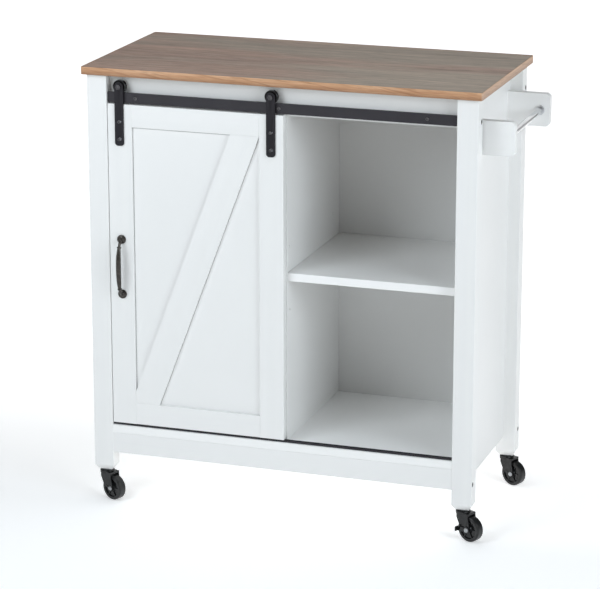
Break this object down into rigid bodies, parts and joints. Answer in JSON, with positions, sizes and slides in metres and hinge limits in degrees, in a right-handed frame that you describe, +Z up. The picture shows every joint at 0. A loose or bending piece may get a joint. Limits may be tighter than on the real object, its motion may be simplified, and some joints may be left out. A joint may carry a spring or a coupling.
{
  "type": "rolling kitchen cart with sliding barn door",
  "caption": "White rolling kitchen cart: oak worktop, sliding barn door on a black track, open shelf bay, towel bar at the side and swivel casters.",
  "frame": {"origin": "on the floor, under the middle of the whole cart's bounding box", "axes": "+X to the right seen from the front (towel bar side), +Y from the front to the back, +Z up"},
  "size_m": [0.844, 0.402, 0.877],
  "materials": {
    "white_board": "MDF with satin cool white lacquer",
    "white_wood": "solid wood with satin cool white lacquer",
    "oak_top": "matt weathered grey-brown oak, grain along the length",
    "oak_edge": "satin warm oak edging",
    "beech": "bare beech",
    "black_steel": "black powder coat, fine texture",
    "black_bronze": "dark bronze lacquer, satin",
    "black_plastic": "moulded black plastic, satin",
    "wheel_plastic": "moulded black plastic, half gloss",
    "chrome_rod": "polished chrome",
    "zinc_steel": "bright zinc plating"
  },
  "bodies": {
    "cabinet": {"worktop": "oak_top", "worktop_edging": "oak_edge", "leg_front_left": "white_wood", "leg_front_right": "white_wood", "leg_back_left": "white_wood", "leg_back_right": "white_wood", "side_panel_left": "white_board", "side_panel_right": "white_board", "back_panel": "white_board", "floor_board": "white_board", "partition": "white_board", "header_rail": "white_board", "back_top_rail": "white_board", "front_apron": "white_board", "back_apron": "white_board", "open_shelf": "white_board", "cupboard_shelf": "white_board", "shelf_pins": "zinc_steel", "wood_dowels": "beech", "frame_screws": "black_steel", "door_track": "black_steel", "track_spacers": "black_steel", "track_bolts": "black_steel", "floor_guide": "black_plastic", "towel_bracket_front": "white_board", "towel_bracket_back": "white_board", "towel_rod": "chrome_rod", "rod_collars": "chrome_rod", "bracket_screws": "zinc_steel", "stem_inserts": "zinc_steel", "caster_stems": "zinc_steel"},
    "door": {"door_stile_left": "white_board", "door_stile_right": "white_board", "door_top_rail": "white_board", "door_bottom_rail": "white_board", "door_brace": "white_board", "door_panel": "white_board", "hanger_strap_left": "black_steel", "hanger_strap_right": "black_steel", "strap_screws": "black_steel", "roller_axles": "black_steel", "door_pull": "black_bronze", "pull_screws": "zinc_steel", "guide_pins": "black_plastic"},
    "roller_left": {"roller_left": "black_plastic"},
    "roller_right": {"roller_right": "black_plastic"},
    "caster_front_left": {"fork_front_left": "black_plastic", "axle_front_left": "zinc_steel"},
    "wheel_front_left": {"wheel_front_left": "wheel_plastic"},
    "caster_front_right": {"fork_front_right": "black_plastic", "axle_front_right": "zinc_steel"},
    "wheel_front_right": {"wheel_front_right": "wheel_plastic"},
    "caster_back_left": {"fork_back_left": "black_plastic", "axle_back_left": "zinc_steel"},
    "wheel_back_left": {"wheel_back_left": "wheel_plastic"},
    "caster_back_right": {"fork_back_right": "black_plastic", "axle_back_right": "zinc_steel"},
    "wheel_back_right": {"wheel_back_right": "wheel_plastic"},
    "brake_front_right": {"brake_front_right": "black_steel"},
    "brake_back_left": {"brake_back_left": "black_steel"}
  },
  "joints": [
    {"name": "door_slide", "type": "slide", "parent": "cabinet", "child": "door", "axis": [1, 0, 0], "range_m": [0, 0.337]},
    {"name": "roller_left_spin", "type": "hinge", "parent": "door", "child": "roller_left", "pos_m": [-0.3475, -0.17175, 0.8403], "axis": [0, 1, 0], "range_deg": [0, 1720]},
    {"name": "roller_right_spin", "type": "hinge", "parent": "door", "child": "roller_right", "pos_m": [-0.0405, -0.17175, 0.8403], "axis": [0, 1, 0], "range_deg": [0, 1720]},
    {"name": "swivel_front_left", "type": "hinge", "parent": "cabinet", "child": "caster_front_left", "pos_m": [-0.393, -0.163, 0.062], "axis": [0, 0, 1], "continuous": true},
    {"name": "roll_front_left", "type": "hinge", "parent": "caster_front_left", "child": "wheel_front_left", "pos_m": [-0.37564, -0.17073, 0.025], "axis": [0.4067, 0.9135, 0], "continuous": true},
    {"name": "swivel_front_right", "type": "hinge", "parent": "cabinet", "child": "caster_front_right", "pos_m": [0.342, -0.163, 0.062], "axis": [0, 0, 1], "continuous": true},
    {"name": "roll_front_right", "type": "hinge", "parent": "caster_front_right", "child": "wheel_front_right", "pos_m": [0.35936, -0.17073, 0.025], "axis": [0.4067, 0.9135, 0], "continuous": true},
    {"name": "brake_front_right_press", "type": "hinge", "parent": "caster_front_right", "child": "brake_front_right", "pos_m": [0.35936, -0.17073, 0.025], "axis": [0.4067, 0.9135, 0], "range_deg": [-28, 0]},
    {"name": "swivel_back_left", "type": "hinge", "parent": "cabinet", "child": "caster_back_left", "pos_m": [-0.393, 0.172, 0.062], "axis": [0, 0, 1], "continuous": true},
    {"name": "roll_back_left", "type": "hinge", "parent": "caster_back_left", "child": "wheel_back_left", "pos_m": [-0.37564, 0.16427, 0.025], "axis": [0.4067, 0.9135, 0], "continuous": true},
    {"name": "brake_back_left_press", "type": "hinge", "parent": "caster_back_left", "child": "brake_back_left", "pos_m": [-0.37564, 0.16427, 0.025], "axis": [0.4067, 0.9135, 0], "range_deg": [-28, 0]},
    {"name": "swivel_back_right", "type": "hinge", "parent": "cabinet", "child": "caster_back_right", "pos_m": [0.342, 0.172, 0.062], "axis": [0, 0, 1], "continuous": true},
    {"name": "roll_back_right", "type": "hinge", "parent": "caster_back_right", "child": "wheel_back_right", "pos_m": [0.35936, 0.16427, 0.025], "axis": [0.4067, 0.9135, 0], "continuous": true}
  ],
  "couplings": [
    {"joint": "roller_left_spin", "follows": "door_slide", "rad_per_m": 88.496},
    {"joint": "roller_right_spin", "follows": "door_slide", "rad_per_m": 88.496}
  ]
}
